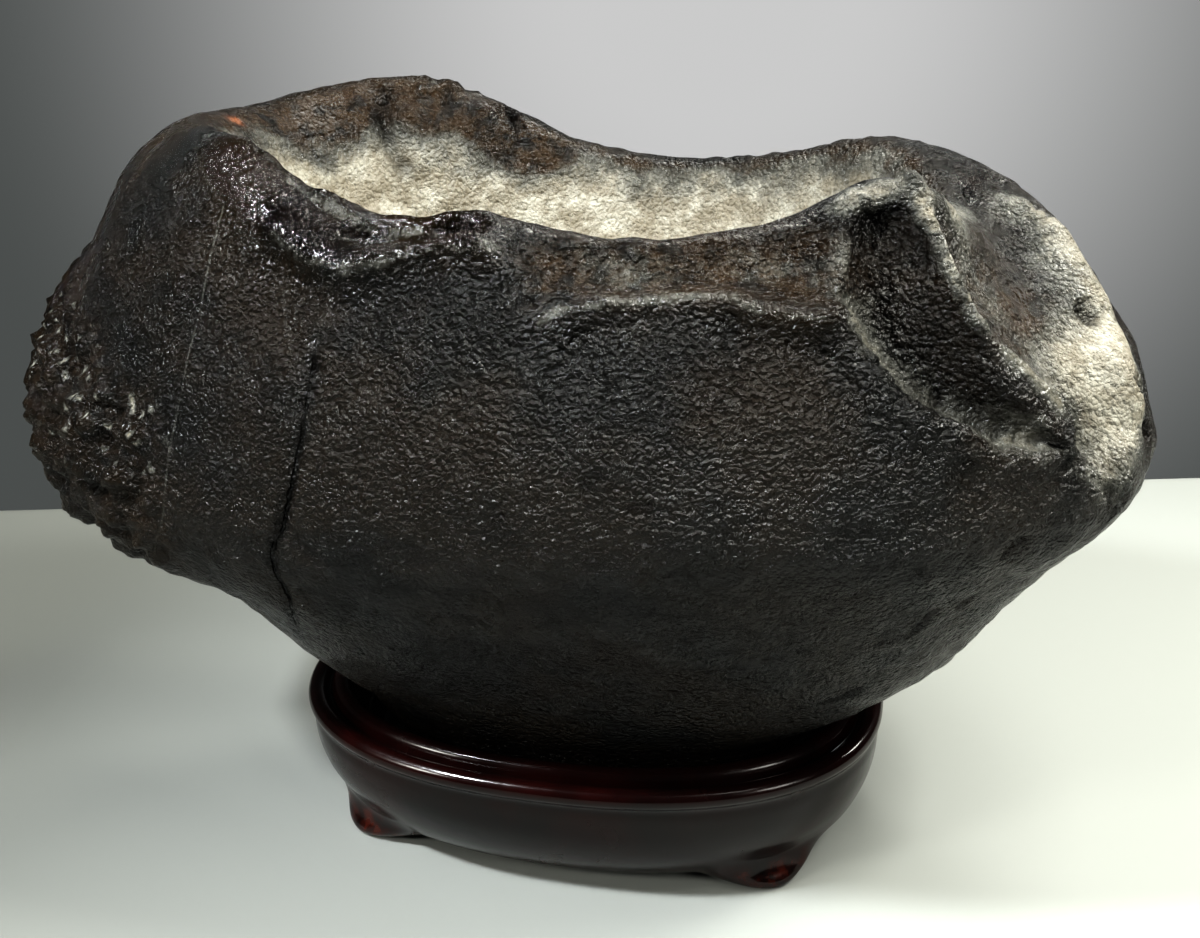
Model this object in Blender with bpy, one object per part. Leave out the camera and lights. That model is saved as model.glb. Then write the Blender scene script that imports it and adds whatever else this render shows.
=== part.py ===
"""A basin-shaped display stone resting in its low oval carved wooden stand.

Run with: blender --background --python part.py
The scene is in metres with +Z up. +X is the stone's length and -Y its front. The origin is under the
middle of the whole outline, on the surface that the stand's feet rest on. Sizes below are in
millimetres from the middle of the stand.
"""
import math
from collections import namedtuple

import bmesh
import bpy
from mathutils import Matrix, Vector

MM = 0.001
COLLECTION = "scholars_rock"

# Middle of the whole outline seen from above, measured from the middle of the stand.
OUTLINE_MIDDLE = (-4.03, 1.47)

# ---------------------------------------------------------------------------------------------
# The stone. A ball's rings become the stone's levels: they climb from the foot, over the belly
# and the shoulder to the rim, and go down inside to the floor of the basin. Each level is an oval
# with its own reach to the left (-X), right (+X), front (-Y) and back (+Y).
# ---------------------------------------------------------------------------------------------
ROCK_SEGMENTS = 84
ROCK_RINGS = 38

Level = namedtuple("Level", "above height left right front back squareness")
GROUND = "ground"
RIM = "rim"
LEVELS = (
    Level(GROUND, 12.0, 1.0, 1.0, 1.0, 1.0, 2.0),
    Level(GROUND, 12.0, 27.0, 27.0, 17.0, 17.0, 2.0),
    Level(GROUND, 15.0, 38.0, 39.0, 24.0, 24.0, 2.1),
    Level(GROUND, 20.0, 43.0, 44.0, 27.5, 27.5, 2.2),
    Level(GROUND, 25.5, 46.5, 47.5, 29.8, 29.8, 2.2),
    Level(GROUND, 30.0, 50.0, 56.0, 32.5, 33.0, 2.2),
    Level(GROUND, 42.0, 62.0, 70.0, 41.0, 42.0, 2.2),
    Level(GROUND, 55.0, 75.0, 80.0, 48.0, 51.0, 2.2),
    Level(GROUND, 64.0, 99.0, 87.0, 52.0, 56.0, 2.2),
    Level(GROUND, 78.0, 106.0, 98.0, 57.0, 60.0, 2.2),
    Level(GROUND, 94.0, 103.0, 95.0, 57.0, 60.0, 2.1),
    Level(RIM, -17.0, 85.0, 89.0, 53.0, 56.0, 2.1),
    Level(RIM, -8.0, 79.0, 82.0, 49.0, 52.0, 2.1),
    Level(RIM, -2.5, 72.0, 75.0, 44.5, 46.0, 2.1),
    Level(RIM, 0.0, 64.0, 63.0, 41.0, 41.0, 2.1),
    Level(RIM, -5.0, 58.0, 57.0, 37.0, 37.0, 2.1),
    Level(RIM, -16.0, 52.0, 52.0, 33.0, 33.0, 2.1),
    Level(GROUND, 100.0, 44.0, 44.0, 28.0, 28.0, 2.1),
    Level(GROUND, 92.0, 28.0, 28.0, 18.0, 18.0, 2.0),
    Level(GROUND, 90.0, 1.0, 1.0, 1.0, 1.0, 2.0),
)

# The height of the rim, by the direction from the middle: 0 degrees is +X and 90 is +Y.
RIM_HEIGHTS = (
    (-180, 134.0), (-165, 134.5), (-150, 134.0), (-137, 130.5), (-122, 125.0), (-108, 123.5),
    (-92, 125.0), (-76, 122.5), (-60, 121.2), (-45, 122.3), (-33, 125.0), (-24, 127.0),
    (-16, 122.5), (-6, 119.5), (6, 122.0), (18, 125.5), (31, 125.2), (45, 122.8),
    (60, 121.0), (75, 120.0), (90, 121.0), (105, 124.0), (118, 129.5), (130, 134.5),
    (142, 137.3), (156, 136.5), (168, 134.3),
)

# Hollows are cut by stretched balls: the middle, the half sizes (along, across, deep), the way
# that the long side runs and the way that the hollow faces.
Hollow = namedtuple("Hollow", "name middle half_sizes along facing")
HOLLOW_SEGMENTS = 28
HOLLOW_RINGS = 18
HOLLOWS = (
    Hollow("valley", (84.0, -18.0, 111.0), (40.0, 21.0, 22.0), (0.58, -0.30, -0.75),
           (0.75, -0.22, 0.62)),
    Hollow("panel", (67.0, -51.0, 108.0), (30.0, 15.5, 16.0), (0.66, -0.03, -0.75),
           (0.38, -0.88, 0.28)),
)


def periodic_curve(keys, degrees):
    """Read a smooth closed curve of (degrees, value) keys, which run from -180 up."""
    count = len(keys)
    turn = (degrees + 180.0) % 360.0 - 180.0
    index = max(i for i in range(count) if keys[i][0] <= turn)

    def key(i):
        wraps, place = divmod(i, count)
        return keys[place][0] + 360.0 * wraps, keys[place][1]

    (x0, y0), (x1, y1), (x2, y2), (x3, y3) = (key(index + step) for step in (-1, 0, 1, 2))
    t = (turn - x1) / (x2 - x1)
    slope_1 = (y2 - y0) / (x2 - x0) * (x2 - x1)
    slope_2 = (y3 - y1) / (x3 - x1) * (x2 - x1)
    rise = t * t * (3.0 - 2.0 * t)
    return (y1 + (y2 - y1) * rise
            + slope_1 * t * (1.0 - t) ** 2
            - slope_2 * t * t * (1.0 - t))


def smooth_between(values, position):
    """Read a Catmull-Rom curve through the values, at a position from 0 to the last index."""
    last = len(values) - 1
    index = min(int(position), last - 1)
    t = position - index
    a, b, c, d = (values[min(max(index + step, 0), last)] for step in (-1, 0, 1, 2))
    return 0.5 * (2.0 * b + (c - a) * t + (2.0 * a - 5.0 * b + 4.0 * c - d) * t ** 2
                  + (3.0 * b - a - 3.0 * c + d) * t ** 3)


def oval_reach(azimuth, left, right, front, back, squareness):
    """Distance from the middle to a four-sided oval, in the direction azimuth (radians)."""
    along = math.cos(azimuth)
    across = math.sin(azimuth)
    along /= left if along < 0.0 else right
    across /= front if across < 0.0 else back
    return (abs(along) ** squareness + abs(across) ** squareness) ** (-1.0 / squareness)


def rock_point(azimuth, climb):
    """The stone's surface, where climb goes from 0 at the foot to 1 at the basin's floor."""
    rim_height = periodic_curve(RIM_HEIGHTS, math.degrees(azimuth))
    reaches = []
    heights = []
    for level in LEVELS:
        reaches.append(oval_reach(azimuth, level.left, level.right, level.front, level.back,
                                  level.squareness))
        heights.append(level.height + (rim_height if level.above == RIM else 0.0))
    position = climb * (len(LEVELS) - 1)
    reach = smooth_between(reaches, position)
    height = smooth_between(heights, position)
    return Vector((reach * math.cos(azimuth), reach * math.sin(azimuth), height))


def build_hollow(hollow, cutters):
    """The stretched ball that cuts one hollow into the stone."""
    shape = bmesh.new()
    bmesh.ops.create_uvsphere(shape, u_segments=HOLLOW_SEGMENTS, v_segments=HOLLOW_RINGS,
                              radius=1.0)
    bmesh.ops.scale(shape, vec=Vector(hollow.half_sizes) * MM, verts=shape.verts)
    ball = add_object(f"{hollow.name}_cutter", shape, cutters, None)
    along = Vector(hollow.along).normalized()
    across = Vector(hollow.facing).cross(along).normalized()
    turn = Matrix((along, across, along.cross(across))).transposed()
    ball.rotation_euler = turn.to_euler()
    ball.location = Vector(hollow.middle) * MM
    ball.hide_render = True
    ball.display_type = "WIRE"
    return ball


def build_rock(collection, cutters, material):
    """Shape a ball into the stone, then cut its hollows."""
    shape = bmesh.new()
    bmesh.ops.create_uvsphere(shape, u_segments=ROCK_SEGMENTS, v_segments=ROCK_RINGS, radius=1.0)
    for vertex in shape.verts:
        climb = math.acos(min(max(-vertex.co.z, -1.0), 1.0)) / math.pi
        azimuth = math.atan2(vertex.co.y, vertex.co.x)
        vertex.co = rock_point(azimuth, climb)
    bmesh.ops.scale(shape, vec=(MM, MM, MM), verts=shape.verts)
    rock = add_object("rock", shape, collection, material)
    for hollow in HOLLOWS:
        cut = rock.modifiers.new(f"cut_{hollow.name}", "BOOLEAN")
        cut.operation = "DIFFERENCE"
        cut.solver = "EXACT"
        cut.object = build_hollow(hollow, cutters)
    return rock


# ---------------------------------------------------------------------------------------------
# The stand. Its rings are ovals set in from the widest outline: up the recess that holds the
# stone, over the inner bead, the groove and the outer bead, and down the wall to the underside.
# ---------------------------------------------------------------------------------------------
STAND_HALF_LENGTH = 57.5
STAND_HALF_WIDTH = 40.0
STAND_SQUARENESS = 2.3
STAND_SEGMENTS = 48

RECESS_FLOOR = 11.6
RECESS_WALL = ((16.0, RECESS_FLOOR), (12.5, 12.6), (9.8, 17.0), (8.6, 22.0))
INNER_BEAD = (6.6, 24.3, 1.7)
OUTER_BEAD = (1.8, 23.3, 1.8)
GROOVE = (4.2, 23.4)
BEAD_STEPS = 5
WALL = ((0.7, 21.2), (0.5, 19.0), (1.0, 15.0), (2.1, 11.0), (3.8, 7.2), (5.9, 4.2), (8.2, 2.6))
UNDERSIDE = 2.2
UNDERSIDE_INSET = 11.2

# A foot's ovals: half its width along the rim, half its depth across, and the height.
FOOT_PLACE = (37.0, 24.5)
FOOT_SEGMENTS = 16
FOOT_OVALS = ((6.2, 4.6, 0.0), (7.4, 5.6, 0.9), (7.6, 5.8, 2.2), (6.6, 5.4, 4.2), (6.8, 5.4, 6.5),
              (6.0, 4.4, 9.0))
FOOT_NAMES = ("front_left", "front_right", "back_left", "back_right")


def bead_arc(inset, height, radius, start, end):
    """Points of a bead's round top, from the recess side to the outside (degrees from +inset)."""
    points = []
    for step in range(BEAD_STEPS + 1):
        angle = math.radians(start + (end - start) * step / BEAD_STEPS)
        points.append((inset + radius * math.cos(angle), height + radius * math.sin(angle)))
    return points


def stand_profile():
    """(inset, height) of each ring, from the recess floor to the underside."""
    profile = list(RECESS_WALL)
    profile += bead_arc(*INNER_BEAD, start=0.0, end=160.0)
    profile.append(GROOVE)
    profile += bead_arc(*OUTER_BEAD, start=25.0, end=220.0)
    profile += WALL
    profile.append((UNDERSIDE_INSET, UNDERSIDE))
    return profile


def loft(shape, rings):
    """Skin a stack of closed rings of points, and close both ends with flat faces."""
    loops = [[shape.verts.new(point) for point in ring] for ring in rings]
    count = len(loops[0])
    for lower, upper in zip(loops, loops[1:]):
        for i in range(count):
            after = (i + 1) % count
            shape.faces.new((lower[i], lower[after], upper[after], upper[i]))
    shape.faces.new(loops[0])
    shape.faces.new(loops[-1])
    bmesh.ops.recalc_face_normals(shape, faces=shape.faces)


def oval_ring(half_length, half_width, height, squareness, segments):
    """One level ring of points on an oval."""
    ring = []
    for i in range(segments):
        azimuth = 2.0 * math.pi * i / segments
        reach = oval_reach(azimuth, half_length, half_length, half_width, half_width, squareness)
        ring.append(Vector((reach * math.cos(azimuth), reach * math.sin(azimuth), height)))
    return ring


def build_foot(name, sign_x, sign_y, cutters):
    """A low foot, turned to follow the rim, which is joined to the stand's wall."""
    shape = bmesh.new()
    loft(shape, [oval_ring(*oval, squareness=2.0, segments=FOOT_SEGMENTS) for oval in FOOT_OVALS])
    bmesh.ops.scale(shape, vec=(MM, MM, MM), verts=shape.verts)
    foot = add_object(f"foot_{name}", shape, cutters, None)
    outward = math.atan2(FOOT_PLACE[1] / STAND_HALF_WIDTH ** 2,
                         FOOT_PLACE[0] / STAND_HALF_LENGTH ** 2)
    foot.location = (sign_x * FOOT_PLACE[0] * MM, sign_y * FOOT_PLACE[1] * MM, 0.0)
    foot.rotation_euler.z = -sign_x * sign_y * (math.pi / 2.0 - outward)
    foot.hide_render = True
    foot.display_type = "WIRE"
    return foot


def build_stand(collection, cutters, material):
    """The oval bowl of the stand with its four feet joined on."""
    shape = bmesh.new()
    rings = [oval_ring(STAND_HALF_LENGTH - inset, STAND_HALF_WIDTH - inset, height,
                       STAND_SQUARENESS, STAND_SEGMENTS) for inset, height in stand_profile()]
    loft(shape, rings)
    bmesh.ops.scale(shape, vec=(MM, MM, MM), verts=shape.verts)
    stand = add_object("stand", shape, collection, material)
    for name in FOOT_NAMES:
        side_y = -1 if name.startswith("front") else 1
        side_x = -1 if name.endswith("left") else 1
        join = stand.modifiers.new(f"join_{name}", "BOOLEAN")
        join.operation = "UNION"
        join.solver = "EXACT"
        join.object = build_foot(name, side_x, side_y, cutters)
    return stand


def add_object(name, shape, collection, material):
    """Turn a bmesh into a smooth-shaded object of the collection."""
    for face in shape.faces:
        face.smooth = True
    mesh = bpy.data.meshes.new(name)
    shape.to_mesh(mesh)
    shape.free()
    if material:
        mesh.materials.append(material)
    made = bpy.data.objects.new(name, mesh)
    collection.objects.link(made)
    return made


def make_material(name, colour, roughness):
    """A plain finish: the colour is linear RGB."""
    material = bpy.data.materials.new(name)
    material.use_nodes = True
    surface = material.node_tree.nodes["Principled BSDF"]
    surface.inputs["Base Color"].default_value = (*colour, 1.0)
    surface.inputs["Roughness"].default_value = roughness
    surface.inputs["Metallic"].default_value = 0.0
    return material


def make_collection(name):
    """A new collection of the scene."""
    made = bpy.data.collections.new(name)
    bpy.context.scene.collection.children.link(made)
    return made


def main():
    """Clear the scene, build the stone and its stand, and put the whole over the origin."""
    for left_over in list(bpy.data.objects):
        bpy.data.objects.remove(left_over)
    parts = make_collection(COLLECTION)
    cutters = make_collection("cutters")
    stone = make_material("dark_waxed_stone", (0.022, 0.018, 0.015), 0.42)
    lacquer = make_material("dark_red_lacquer", (0.045, 0.009, 0.007), 0.2)
    build_rock(parts, cutters, stone)
    build_stand(parts, cutters, lacquer)
    for made in bpy.data.objects:
        made.location -= Vector((*OUTLINE_MIDDLE, 0.0)) * MM


main()
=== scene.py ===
"""The finished look of a basin-shaped display stone in its carved wooden stand.

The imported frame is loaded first, and each piece below replaces one of its nodes. Lengths in the classes
are millimetres from the middle of the stand, with +X along the stone, -Y to the front and +Z up; the
scene itself is in metres over the frame's origin.
"""

import logging
import math
from dataclasses import dataclass
from enum import Enum

import bpy
import numpy as np
from mathutils import Matrix, Vector, noise


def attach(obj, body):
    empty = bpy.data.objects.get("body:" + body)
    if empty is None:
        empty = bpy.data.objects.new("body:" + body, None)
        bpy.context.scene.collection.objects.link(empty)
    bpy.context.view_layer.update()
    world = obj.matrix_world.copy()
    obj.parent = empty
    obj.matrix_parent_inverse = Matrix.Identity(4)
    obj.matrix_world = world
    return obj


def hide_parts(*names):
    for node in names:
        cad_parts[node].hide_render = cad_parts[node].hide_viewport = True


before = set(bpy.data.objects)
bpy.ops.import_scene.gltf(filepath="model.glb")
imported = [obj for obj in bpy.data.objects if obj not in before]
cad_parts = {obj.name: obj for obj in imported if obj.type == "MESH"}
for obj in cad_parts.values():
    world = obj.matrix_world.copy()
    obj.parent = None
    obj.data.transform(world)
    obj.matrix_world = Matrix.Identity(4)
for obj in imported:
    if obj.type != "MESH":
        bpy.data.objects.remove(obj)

MM = 0.001
OUTLINE_MIDDLE = (-4.03, 1.47, 0.0)
ROOT = "root"
LOG = logging.getLogger("display_stone")

Point = tuple[float, float, float]
Path = tuple[Point, ...]
Colour = tuple[float, float, float, float]


# ---------------------------------------------------------------------------------------------
# Modelling helpers
# ---------------------------------------------------------------------------------------------
def to_scene(point: Point) -> Vector:
    """Turn millimetres from the stand's middle into the scene's metres.

    Args:
        point: a place in millimetres.

    Returns:
        The same place in metres over the frame's origin.
    """
    return (Vector(point) - Vector(OUTLINE_MIDDLE)) * MM


def deselect_all() -> None:
    """Clear the selection, which the loaded frame leaves full."""
    for piece in bpy.context.selected_objects:
        piece.select_set(False)


def add_ball(name: str, segments: int, rings: int) -> bpy.types.Object:
    """Add a ball of radius 1 as the start of a piece.

    Args:
        name: the piece's name.
        segments: how many meridians it has.
        rings: how many bands it has from pole to pole.

    Returns:
        The new object, which is the active one.
    """
    deselect_all()
    bpy.ops.mesh.primitive_uv_sphere_add(segments=segments, ring_count=rings, radius=1.0)
    ball = bpy.context.active_object
    ball.name = name
    ball.data.name = name
    return ball


def apply_modifier(piece: bpy.types.Object, kind: str, **settings: object) -> None:
    """Add a modifier to a piece and apply it.

    Args:
        piece: the piece to change.
        kind: the modifier's type, in Blender's own word.
        settings: its properties.
    """
    deselect_all()
    piece.select_set(True)
    bpy.context.view_layer.objects.active = piece
    step = piece.modifiers.new(kind.lower(), kind)
    for key, value in settings.items():
        setattr(step, key, value)
    bpy.ops.object.modifier_apply(modifier=step.name)


def read_points(piece: bpy.types.Object) -> np.ndarray:
    """Read a piece's points as rows of x, y and z."""
    points = np.empty(len(piece.data.vertices) * 3)
    piece.data.vertices.foreach_get("co", points)
    return points.reshape(-1, 3)


def write_points(piece: bpy.types.Object, points: np.ndarray) -> None:
    """Move a piece's points to the given rows of x, y and z."""
    piece.data.vertices.foreach_set("co", np.ascontiguousarray(points).ravel())
    piece.data.update()


def smooth_step(low: float, high: float, value: np.ndarray) -> np.ndarray:
    """Rise smoothly from 0 at low to 1 at high.

    Args:
        low: where the rise starts.
        high: where it ends, which may be below low for a fall.
        value: the numbers to look up.

    Returns:
        A number from 0 to 1 for each value.
    """
    t = np.clip((value - low) / (high - low), 0.0, 1.0)
    return t * t * (3.0 - 2.0 * t)


def oval_reach(azimuth: np.ndarray, sides: tuple[float, float, float, float],
               squareness: float) -> np.ndarray:
    """Distance from the middle to a four-sided oval.

    Args:
        azimuth: directions in radians, 0 along +X.
        sides: reach to the left, right, front and back.
        squareness: 2 for an ellipse, more for squarer corners.

    Returns:
        The reach in each direction.
    """
    left, right, front, back = sides
    along = np.cos(azimuth)
    across = np.sin(azimuth)
    along = np.abs(along) / np.where(along < 0.0, left, right)
    across = np.abs(across) / np.where(across < 0.0, front, back)
    return (along ** squareness + across ** squareness) ** (-1.0 / squareness)


def catmull_rom(rows: np.ndarray, position: np.ndarray) -> np.ndarray:
    """Read a smooth curve through rows of values, one column for each reader.

    Args:
        rows: the values, level by level.
        position: where each column is read, from 0 to the last row.

    Returns:
        One value for each column.
    """
    last = len(rows) - 1
    index = np.minimum(position.astype(int), last - 1)
    t = position - index
    column = np.arange(rows.shape[1])
    a, b, c, d = (rows[np.clip(index + step, 0, last), column] for step in (-1, 0, 1, 2))
    return 0.5 * (2.0 * b + (c - a) * t + (2.0 * a - 5.0 * b + 4.0 * c - d) * t ** 2
                  + (3.0 * b - a - 3.0 * c + d) * t ** 3)


def round_curve(path: Path, steps: int = 6) -> np.ndarray:
    """Draw a smooth line through the points of a path.

    Args:
        path: the points it goes through.
        steps: how many stretches each part of it gets.

    Returns:
        The line's points as rows.
    """
    keys = np.asarray(path, float)
    if len(keys) < 3:
        return keys
    place = np.linspace(0.0, len(keys) - 1.0, (len(keys) - 1) * steps + 1)
    return np.stack([catmull_rom(np.repeat(keys[:, axis:axis + 1], len(place), axis=1), place)
                     for axis in range(3)], axis=1)


def fractal(points: np.ndarray, size: float, octaves: int = 3, shift: float = 0.0) -> np.ndarray:
    """Smooth random heights between about -1 and 1.

    Args:
        points: where they are read, in millimetres.
        size: how far apart the largest swells are.
        octaves: how many finer layers are added.
        shift: picks another pattern of the same kind.

    Returns:
        One height for each point.
    """
    scaled = points / size + shift
    return np.array([noise.fractal(Vector(p), 1.0, 2.0, octaves) for p in scaled])


def cells(points: np.ndarray, size: Point, shift: float = 0.0) -> np.ndarray:
    """Distance from the nearest of many scattered seeds, in units of the cell size.

    Args:
        points: where it is read, in millimetres.
        size: the cell's size along each axis.
        shift: picks another pattern of the same kind.

    Returns:
        One distance for each point, 0 at a seed and about 0.7 between seeds.
    """
    scaled = points / np.asarray(size) + shift
    return np.array([noise.voronoi(Vector(p))[0][0] for p in scaled])


# ---------------------------------------------------------------------------------------------
# Working a surface
# ---------------------------------------------------------------------------------------------
class Section(Enum):
    """The shape of a stroke across its line."""

    ROUND = "round"
    SHARP = "sharp"
    FLAT = "flat"


class Channel(Enum):
    """What is painted on the stone's points for its finish to read."""

    # Pale mineral bloom and crust, and also painted highlights along lit ridges, crests and edges.
    BLOOM = "bloom_and_sheen"
    TINT = "tint"
    POLISH = "polish"
    WARM_SPOT = "warm_spot"
    # Painted shade: near black painted into cracks, slits, pits, clefts and folds.
    DARK = "dark"


@dataclass(frozen=True)
class Stroke:
    """One line or spot that is worked into a surface: a positive height raises it."""

    path: Path
    width: float
    height: float
    section: Section = Section.ROUND
    tapered: bool = False


@dataclass(frozen=True)
class Chips:
    """A rough patch along a line: a broken skin of small lumps."""

    path: Path
    width: float
    height: float
    size: float


@dataclass(frozen=True)
class Scoop:
    """A hollow that is pressed in within a closed outline.

    Each outline row is a place, the run from there to the full depth, and how crisp its edge is (0 to 1).
    """

    facing: Point
    depth: float
    outline: tuple[tuple[float, float, float, float, float], ...]


@dataclass(frozen=True)
class Mark:
    """One line or spot of a painted channel."""

    channel: Channel
    path: Path
    width: float
    amount: float


class Surface:
    """A piece's points while they are being worked, in millimetres from the stand's middle."""

    settle: float = 2.0
    stroke_reach: float = 2.6
    chip_reach: float = 2.0
    mark_reach: float = 2.2
    scoop_thickness: float = 30.0
    scoop_ease: int = 14
    facing_ease: int = 10

    def __init__(self, piece: bpy.types.Object) -> None:
        """Read the piece.

        Args:
            piece: a mesh object whose points are in millimetres.
        """
        self.piece = piece
        self.points = read_points(piece)
        edges = np.empty(len(piece.data.edges) * 2, dtype=np.int32)
        piece.data.edges.foreach_get("vertices", edges)
        edges = edges.reshape(-1, 2)
        self.here = np.concatenate([edges[:, 0], edges[:, 1]])
        self.there = np.concatenate([edges[:, 1], edges[:, 0]])
        self.neighbours = np.maximum(np.bincount(self.here, minlength=len(self.points)), 1)
        self.paint = {channel: np.zeros(len(self.points)) for channel in Channel}
        self.face_again()

    def normals(self) -> np.ndarray:
        """The piece's own normals at its points, as they are now."""
        write_points(self.piece, self.points)
        rows = np.empty(len(self.points) * 3)
        self.piece.data.vertex_normals.foreach_get("vector", rows)
        return rows.reshape(-1, 3)

    def spread(self, values: np.ndarray, steps: int) -> np.ndarray:
        """Average a value with its neighbours', again and again.

        Args:
            values: one number for each point.
            steps: how many times.

        Returns:
            The smoothed numbers.
        """
        for _ in range(steps):
            around = np.bincount(self.here, weights=values[self.there], minlength=len(values))
            values = 0.5 * values + 0.5 * around / self.neighbours
        return values

    def spread_rows(self, rows: np.ndarray, steps: int) -> np.ndarray:
        """Smooth each column of some rows, as spread does."""
        return np.stack([self.spread(rows[:, axis], steps) for axis in range(rows.shape[1])], axis=1)

    def near(self, path: Path, reach: float) -> tuple[np.ndarray, np.ndarray, np.ndarray]:
        """Lay a line on the surface, and find the points near it that face as the surface there does.

        Args:
            path: the line.
            reach: how far from it a point may be.

        Returns:
            Which points, how far each is from the line, and how far along it each is (0 to 1).
        """
        line = round_curve(path)
        low = line.min(axis=0) - reach - self.settle
        high = line.max(axis=0) + reach + self.settle
        which = np.flatnonzero(np.all((self.points > low) & (self.points < high), axis=1))
        spots = self.points[which]
        if len(which):
            gaps = ((spots[None] - line[:, None]) ** 2).sum(axis=2)
            share = np.exp((gaps.min(axis=1, keepdims=True) - gaps) / self.settle)
            line = share @ spots / share.sum(axis=1, keepdims=True)
        best = np.full(len(which), np.inf)
        along = np.zeros(len(which))
        if len(line) == 1:
            best = np.linalg.norm(spots - line[0], axis=1)
        for i, (start, end) in enumerate(zip(line, line[1:])):
            run = end - start
            t = np.clip((spots - start) @ run / max(run @ run, 1e-9), 0.0, 1.0)
            gap = np.linalg.norm(spots - (start + t[:, None] * run), axis=1)
            closer = gap < best
            best = np.where(closer, gap, best)
            along = np.where(closer, (i + t) / (len(line) - 1), along)
        close = best < reach
        which, best, along = which[close], best[close], along[close]
        if len(which):
            own = self.facing[which[np.argsort(best)[:12]]].mean(axis=0)
            same = self.facing[which] @ own > 0.1
            which, best, along = which[same], best[same], along[same]
        return which, best, along

    def work(self, stroke: Stroke) -> None:
        """Press or raise one stroke.

        Args:
            stroke: where it goes, and its width and height.
        """
        which, gap, along = self.near(stroke.path, stroke.width * self.stroke_reach)
        across = gap / stroke.width
        if stroke.section is Section.ROUND:
            lift = np.exp(-across ** 2)
        elif stroke.section is Section.SHARP:
            lift = np.clip(1.0 - across, 0.0, 1.0) ** 1.3
        else:
            lift = smooth_step(1.3, 0.7, across)
        if stroke.tapered:
            lift = lift * np.sqrt(np.clip(4.0 * along * (1.0 - along), 0.0, 1.0))
        self.points[which] += self.facing[which] * (stroke.height * lift)[:, None]

    def chip(self, chips: Chips) -> None:
        """Break the skin along one line.

        Args:
            chips: the line, how wide the patch is, and how high and large its lumps are.
        """
        which, gap, _ = self.near(chips.path, chips.width * self.chip_reach)
        spots = self.points[which]
        spots = spots + fractal(spots, chips.size * 2.0, 2, 4.4)[:, None] * chips.size * 0.5
        lumps = 0.45 - cells(spots, (chips.size,) * 3, 7.7)
        self.points[which] += self.facing[which] * (chips.height * lumps
                                                    * np.exp(-(gap / chips.width) ** 2))[:, None]

    def scoop(self, scoop: Scoop) -> None:
        """Press one hollow in.

        Args:
            scoop: its outline, its depth and the way it faces.
        """
        out = np.array(Vector(scoop.facing).normalized())
        side = np.array(Vector(out).cross(Vector((0.0, 0.0, 1.0))).normalized())
        plane = np.stack([side, np.cross(side, out)], axis=1)
        rows = np.array(scoop.outline)
        corners = rows[:, :3] @ plane
        spots = self.points @ plane
        level = self.points @ out
        middle = (rows[:, :3] @ out).mean()
        near = ((self.facing @ out > 0.05) & (np.abs(level - middle) < self.scoop_thickness)
                & np.all((spots > corners.min(axis=0)) & (spots < corners.max(axis=0)), axis=1))
        which = np.flatnonzero(near)
        spots = spots[which]
        inside = np.zeros(len(which), bool)
        share = np.full(len(which), np.inf)
        crisp = np.zeros(len(which))
        for i, start in enumerate(corners):
            after = (i + 1) % len(corners)
            run = corners[after] - start
            crosses = (start[1] > spots[:, 1]) != (corners[after][1] > spots[:, 1])
            reach = start[0] + (spots[:, 1] - start[1]) * run[0] / (run[1] if run[1] else 1e-9)
            inside ^= crosses & (spots[:, 0] < reach)
            t = np.clip((spots - start) @ run / max(run @ run, 1e-9), 0.0, 1.0)
            gap = np.linalg.norm(spots - (start + t[:, None] * run), axis=1)
            part = gap / (rows[i, 3] * (1.0 - t) + rows[after, 3] * t)
            closer = part < share
            share = np.where(closer, part, share)
            crisp = np.where(closer, rows[i, 4] * (1.0 - t) + rows[after, 4] * t, crisp)
        share = np.where(inside, np.minimum(share, 1.0), 0.0)
        fall = (crisp * (1.0 - (1.0 - share) ** 1.7)
                + (1.0 - crisp) * smooth_step(0.0, 1.0, share))
        depth = np.zeros(len(self.points))
        depth[which] = fall * scoop.depth
        eased = self.spread(depth, self.scoop_ease)[which]
        keep = smooth_step(0.12, 0.45, share)
        depth[which] = depth[which] * (1.0 - keep) + eased * keep
        self.points -= np.outer(depth, out)
        self.face_again()

    def face_again(self) -> None:
        """Take the direction that each point faces from the surface as it is now."""
        self.facing = self.spread_rows(self.normals(), self.facing_ease)
        self.facing /= np.linalg.norm(self.facing, axis=1)[:, None]

    def stain(self, stain: Mark) -> None:
        """Paint one line or spot.

        Args:
            stain: its channel, place, width and amount.
        """
        which, gap, _ = self.near(stain.path, stain.width * self.mark_reach)
        amount = stain.amount * np.exp(-(gap / stain.width) ** 2)
        painted = self.paint[stain.channel]
        painted[which] = np.clip(painted[which] + amount, 0.0, 1.0)

    def lift(self, heights: np.ndarray) -> None:
        """Raise every point by its own height."""
        self.points += self.facing * heights[:, None]

    def finish(self) -> None:
        """Write the points and the painted channels, and put the piece over the frame's origin."""
        write_points(self.piece, (self.points - np.asarray(OUTLINE_MIDDLE)) * MM)
        for channel, values in self.paint.items():
            layer = self.piece.data.attributes.new(channel.value, "FLOAT", "POINT")
            layer.data.foreach_set("value", np.clip(values, 0.0, 1.0))
        self.piece.data.polygons.foreach_set("use_smooth", [True] * len(self.piece.data.polygons))
        self.piece.data.update()


# ---------------------------------------------------------------------------------------------
# The stone
# ---------------------------------------------------------------------------------------------
class Above(Enum):
    """What a level's height is counted from."""

    GROUND = "ground"
    RIM = "rim"


@dataclass(frozen=True)
class Level:
    """One level of the stone: its height and its reach to the left, right, front and back."""

    above: Above
    height: float
    sides: tuple[float, float, float, float]
    squareness: float


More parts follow.
